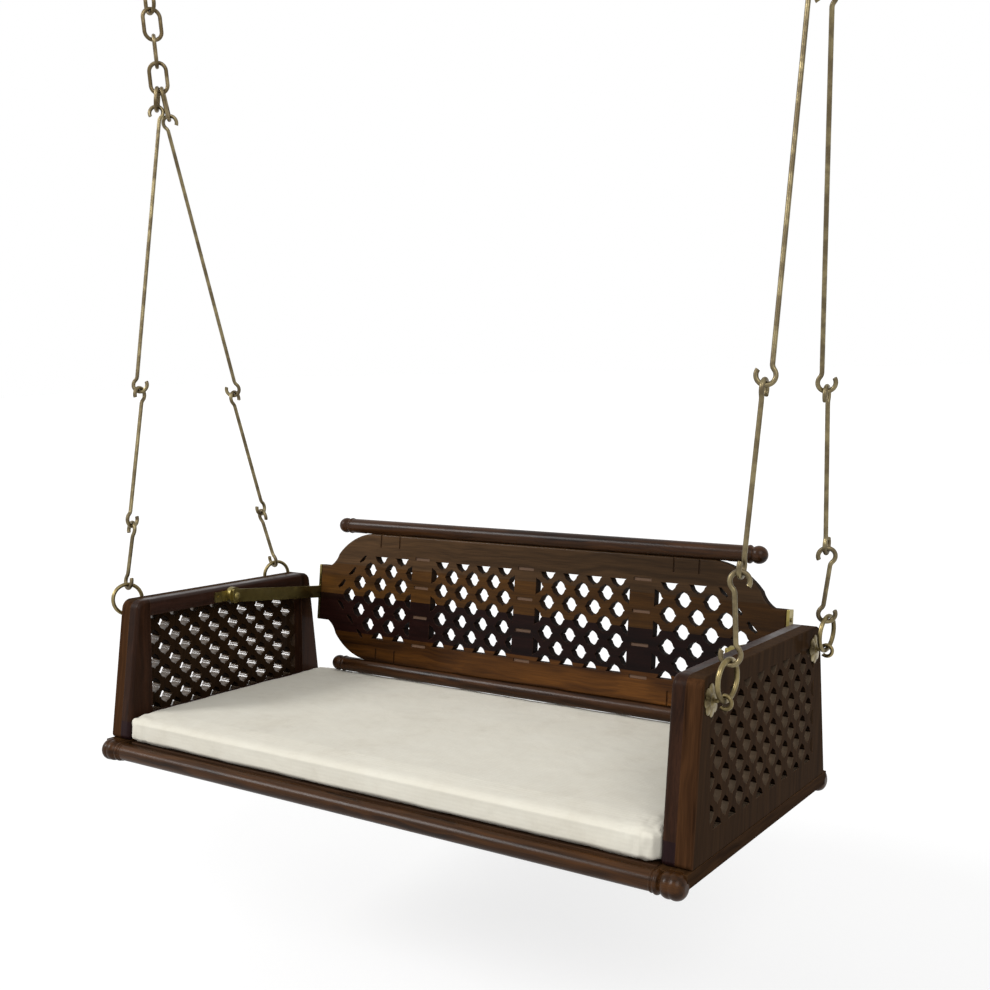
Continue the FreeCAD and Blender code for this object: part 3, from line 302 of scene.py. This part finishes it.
# Brass. Arms, bases and eyes are brass strip and wire with an antique finish: olive gold
# where hands polish it, brown where the patina stays. The bent rods are duller.

lines = [f"{side}_{end}" for side in ("left", "right") for end in ("front", "rear")]


def antique_brass(name, metal, patina, share, roughness):
    """Brass whose brown patina covers about that share of it, in patches 30 mm wide."""
    finish = bpy.data.materials.new(name)
    finish.use_nodes = True
    tree = finish.node_tree
    surface = tree.nodes["Principled BSDF"]
    position = add(tree, "TexCoord").outputs["Object"]
    patch = add(tree, "TexNoise", {"Vector": position, "Scale": 1 / 0.03, "Detail": 3.0,
                                   "Roughness": 0.6})
    patch = add(tree, "MapRange", {"Value": patch.outputs["Fac"],
                                   "From Min": 0.3 + share * 0.3,
                                   "From Max": 0.52 + share * 0.3,
                                   "To Min": 1.0, "To Max": 0.0})
    colour = add(tree, "Mix", {"Factor": patch.outputs["Result"], "A": linear(metal),
                               "B": linear(patina)}, data_type="RGBA")
    tree.links.new(colour.outputs["Result"], surface.inputs["Base Color"])
    surface.inputs["Metallic"].default_value = 1.0
    dull = add(tree, "MapRange", {"Value": patch.outputs["Result"], "To Min": roughness,
                                  "To Max": roughness + 0.2})
    tree.links.new(dull.outputs["Result"], surface.inputs["Roughness"])
    dent = add(tree, "TexNoise", {"Vector": position, "Scale": 1 / 0.002, "Detail": 2.0})
    relief = add(tree, "Bump", {"Height": dent.outputs["Fac"], "Strength": 0.08,
                                "Distance": 0.0003})
    tree.links.new(relief.outputs["Normal"], surface.inputs["Normal"])
    return finish


give(antique_brass("brass_strip", "#93854e", "#786c42", 0.3, 0.28), "back_arm_left",
     "back_arm_right", "arm_base_left", "arm_base_right", "pivot_pins", "base_screws",
     "arm_screws")
give(antique_brass("brass_eye", "#8a7c56", "#665a3e", 0.3, 0.28),
     *[f"{piece}_{line}" for piece in ("eye_hook", "rosette", "ring") for line in lines])
give(antique_brass("brass_rod", "#85795a", "#635843", 0.4, 0.28),
     *[f"{piece}_rod_{line}" for piece in ("short", "medium", "long") for line in lines])
give(antique_brass("brass_link", "#85775a", "#5c4f38", 0.4, 0.28), "chain_left", "chain_right",
     "ceiling_hook_left", "ceiling_hook_right", *[f"end_link_{line}" for line in lines])
give(antique_brass("zinc_plated_bolt", "#a6a6a2", "#6e6a63", 0.2, 0.35), "panel_bolts")


# Mattress. A block of foam in a cover of unbleached cotton canvas, 60 mm thick with
# rounded corners, seamed along its top and bottom edges. It lies loose on the planks.

cover_low = Vector((-0.6305, -0.311, -0.0025))
cover_high = Vector((0.6305, 0.304, 0.0578))
cushion_half = (cover_high - cover_low) / 2
cushion_middle = (cover_high + cover_low) / 2
corner_radius = 0.026
swell = 0.005
voxel = 0.006
edge_rounding = 0.006
seam_heights = (0.003, 0.052)
seam_width = 0.006
seam_depth = 0.0011
pucker_depth = 0.0035
pucker_reach = 0.09
front_drop = 0.0028

bpy.ops.object.select_all(action="DESELECT")
bpy.ops.mesh.primitive_cube_add(size=2, location=cushion_middle)
mattress = bpy.context.object
mattress.name = "mattress"
mattress.scale = cushion_half - Vector((swell, swell, swell * 0.7))
bpy.ops.object.transform_apply(location=True, rotation=True, scale=True)
# The four upright edges are rounded first, then the rims above and below.
bpy.ops.object.mode_set(mode="EDIT")
bpy.ops.mesh.select_mode(type="EDGE")
bpy.ops.mesh.select_all(action="DESELECT")
shape = bmesh.from_edit_mesh(mattress.data)
for edge in shape.edges:
    ends = edge.verts[0].co - edge.verts[1].co
    edge.select_set(abs(ends.z) > 0.01)
bmesh.update_edit_mesh(mattress.data)
bpy.ops.mesh.bevel(offset=corner_radius, segments=6, affect="EDGES")
bpy.ops.mesh.select_all(action="DESELECT")
shape = bmesh.from_edit_mesh(mattress.data)
for edge in shape.edges:
    flat_faces = [abs(face.normal.z) > 0.9 for face in edge.link_faces]
    edge.select_set(any(flat_faces) and not all(flat_faces))
bmesh.update_edit_mesh(mattress.data)
bpy.ops.mesh.bevel(offset=edge_rounding, segments=3, affect="EDGES")
bpy.ops.object.mode_set(mode="OBJECT")

remesh = mattress.modifiers.new("cover", "REMESH")
remesh.mode = "VOXEL"
remesh.voxel_size = voxel
bpy.ops.object.modifier_apply(modifier="cover")
unfilled = [v.co.copy() for v in mattress.data.vertices]

fill = mattress.modifiers.new("fill", "CLOTH")
fill.settings.use_pressure = True
fill.settings.uniform_pressure_force = 4.0
fill.settings.effector_weights.gravity = 0.0
for frame_number in range(1, 21):
    bpy.context.scene.frame_set(frame_number)
bpy.ops.object.modifier_apply(modifier="fill")
bpy.context.scene.frame_set(1)
filled = [v.co.copy() for v in mattress.data.vertices]
for index, before in enumerate(unfilled):
    move = filled[index] - before
    filled[index] = before + move * min(1.0, swell / max(move.length, 1e-9))
# The remesh and the pull of the cloth take a few millimetres off: the cover is let out
# to the space between the panels again.
low = Vector([min(spot[axis] for spot in filled) for axis in range(3)])
high = Vector([max(spot[axis] for spot in filled) for axis in range(3)])
for index, spot in enumerate(filled):
    filled[index] = Vector([cover_low[axis] + (spot[axis] - low[axis])
                            * (cover_high[axis] - cover_low[axis]) / (high[axis] - low[axis])
                            for axis in range(3)])
mattress.data.vertices.foreach_set("co", [number for spot in filled for number in spot])
mattress.data.update()

smooth = mattress.modifiers.new("cloth", "SUBSURF")
smooth.levels = smooth.render_levels = 1
bpy.ops.object.modifier_apply(modifier="cloth")

# The foam shows through as a slow unevenness, the seams draw the cloth in by a
# millimetre around the rim, and the cloth puckers at the corners.
outward = [v.normal.copy() for v in mattress.data.vertices]
spots = [v.co.copy() for v in mattress.data.vertices]
for index, spot in enumerate(spots):
    slow = noise.noise(spot * 14) * 0.0012 + noise.noise(spot * 45) * 0.0004
    side = max(abs(spot.x) / cushion_half.x, abs(spot.y - cushion_middle.y) / cushion_half.y)
    seam = max(max(0.0, 1 - abs(spot.z - height) / seam_width) for height in seam_heights)
    if side <= 0.96:
        seam = 0.0
    to_corner = Vector((cushion_half.x - abs(spot.x),
                        cushion_half.y - abs(spot.y - cushion_middle.y))).length
    corner = max(0.0, 1 - to_corner / pucker_reach)
    pucker = noise.noise(Vector((spot.x * 90, spot.y * 90, spot.z * 25)))
    pucker = pucker * pucker_depth * corner
    spots[index] = spot + outward[index] * (slow + pucker - seam_depth * seam)
    # The lower front edge lies over the front rail in waves.
    hang = max(0.0, 1 - (spot.y - cover_low.y) / 0.012) * max(
        0.0, 1 - (spot.z - cover_low.z) / 0.04)
    wave = 0.7 + noise.noise(Vector((spot.x * 7, 0, 0)))
    spots[index] += Vector((0, -0.0015, 0.0035)) * hang * min(1.0, max(0.0, wave - 0.2))
    # Its top is a little lower along the front, where the backrest's rail comes down.
    front = min(1.0, max(0.0, (-0.25 - spot.y) / 0.03))
    rise = min(1.0, max(0.0, (spot.z - 0.01) / 0.04))
    spots[index].z -= front_drop * front * rise
mattress.data.vertices.foreach_set("co", [number for spot in spots for number in spot])
mattress.data.update()
lay_on_seat = Matrix.Translation(seat_middle) @ Matrix.Rotation(seat_lean, 4, "X")
mattress.data.transform(lay_on_seat)
bpy.ops.object.shade_smooth()

canvas = bpy.data.materials.new("cotton_canvas")
canvas.use_nodes = True
tree = canvas.node_tree
surface = tree.nodes["Principled BSDF"]
position = add(tree, "TexCoord").outputs["Object"]
level = add(tree, "Mapping", {"Vector": position, "Location": seat_middle,
                              "Rotation": (seat_lean, 0, 0)},
            vector_type="TEXTURE").outputs["Vector"]
stain = add(tree, "TexNoise", {"Vector": level, "Scale": 9.0, "Detail": 7.0, "Roughness": 0.72})
stain = add(tree, "ValToRGB", {"Fac": stain.outputs["Fac"]},
            [(0.3, "#d9d3c3"), (0.46, "#e1dccd"), (0.72, "#e6e2d4")])
# Threads are 0.6 mm apart, drawn 2.4 mm apart so that they show.
weave = []
for direction in "XYZ":
    wave = add(tree, "TexWave", {"Vector": level, "Scale": 2.0 / 0.0024 / 20, "Distortion": 1.5,
                                 "Detail": 2.0, "Detail Scale": 2.0}, bands_direction=direction)
    weave.append(wave.outputs["Fac"])
threads = add(tree, "Math", {0: weave[0], 1: weave[1]}, operation="ADD")
threads = add(tree, "Math", {0: threads.outputs["Value"], 1: weave[2]}, operation="ADD")
tree.links.new(stain.outputs["Color"], surface.inputs["Base Color"])
surface.inputs["Roughness"].default_value = 0.85
surface.inputs["Sheen Weight"].default_value = 0.15
surface.inputs["Sheen Roughness"].default_value = 0.5
surface.inputs["Specular IOR Level"].default_value = 0.2
relief = add(tree, "Bump", {"Height": threads.outputs["Value"], "Strength": 0.25,
                            "Distance": 0.0003})
crease = add(tree, "TexNoise", {"Vector": level, "Scale": 14.0, "Detail": 3.0,
                                "Distortion": 1.0})
relief = add(tree, "Bump", {"Height": crease.outputs["Fac"], "Strength": 0.3,
                            "Distance": 0.004, "Normal": relief.outputs["Normal"]})
tree.links.new(relief.outputs["Normal"], surface.inputs["Normal"])
mattress.data.materials.append(canvas)
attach(mattress, "seat")
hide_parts("seat_cushion")


# Room. A white floor below the hanging seat, a soft lamp above the left front, a weaker
# one on the right, and the camera where the photograph was taken from.


def shows_background(tree):
    """A socket that is 1 for camera rays, and for those in reflections or through glass."""
    paths = add(tree, "LightPath")
    shown = paths.outputs["Is Camera Ray"]
    for kind in ("Is Glossy Ray", "Is Transmission Ray"):
        shown = add(tree, "Math", {0: shown, 1: paths.outputs[kind]},
                    operation="MAXIMUM").outputs["Value"]
    return shown


bpy.ops.object.select_all(action="DESELECT")
bpy.ops.mesh.primitive_plane_add(size=60, location=(0, 0, -2.25))
floor = bpy.context.object
floor.name = "floor"
paint = bpy.data.materials.new("white_floor_paint")
paint.use_nodes = True
tree = paint.node_tree
surface = tree.nodes["Principled BSDF"]
surface.inputs["Base Color"].default_value = linear("#a0a0a0")
surface.inputs["Roughness"].default_value = 0.8
tree.links.new(shows_background(tree), surface.inputs["Emission Strength"])
surface.inputs["Emission Color"].default_value = (0.7, 0.7, 0.7, 1)
floor.data.materials.append(paint)

world = bpy.data.worlds.new("room")
bpy.context.scene.world = world
world.use_nodes = True
tree = world.node_tree
strength = add(tree, "MapRange", {"Value": shows_background(tree), "To Min": 0.45,
                                  "To Max": 1.0})
background = tree.nodes["Background"]
background.inputs["Color"].default_value = (1, 1, 1, 1)
tree.links.new(strength.outputs["Result"], background.inputs["Strength"])

for name, turn, energy, width in (("key", (54, 0, -48), 1.6, 20),
                                  ("fill", (52, 0, 45), 1.1, 35)):
    lamp = bpy.data.lights.new(name, "SUN")
    lamp.energy = energy
    lamp.angle = math.radians(width)
    holder = bpy.data.objects.new(name, lamp)
    holder.rotation_euler = [math.radians(a) for a in turn]
    bpy.context.scene.collection.objects.link(holder)

lens = bpy.data.cameras.new("camera")
lens.sensor_width = 36.0
lens.lens = 43.855
lens.clip_end = 100.0
camera = bpy.data.objects.new("camera", lens)
camera.location = (1.45139, -1.96825, -0.93552)
camera.rotation_euler = [math.radians(a) for a in (82.3256, 2.3699, 34.0051)]
bpy.context.scene.collection.objects.link(camera)
bpy.context.scene.camera = camera
bpy.context.scene.view_settings.view_transform = "Standard"
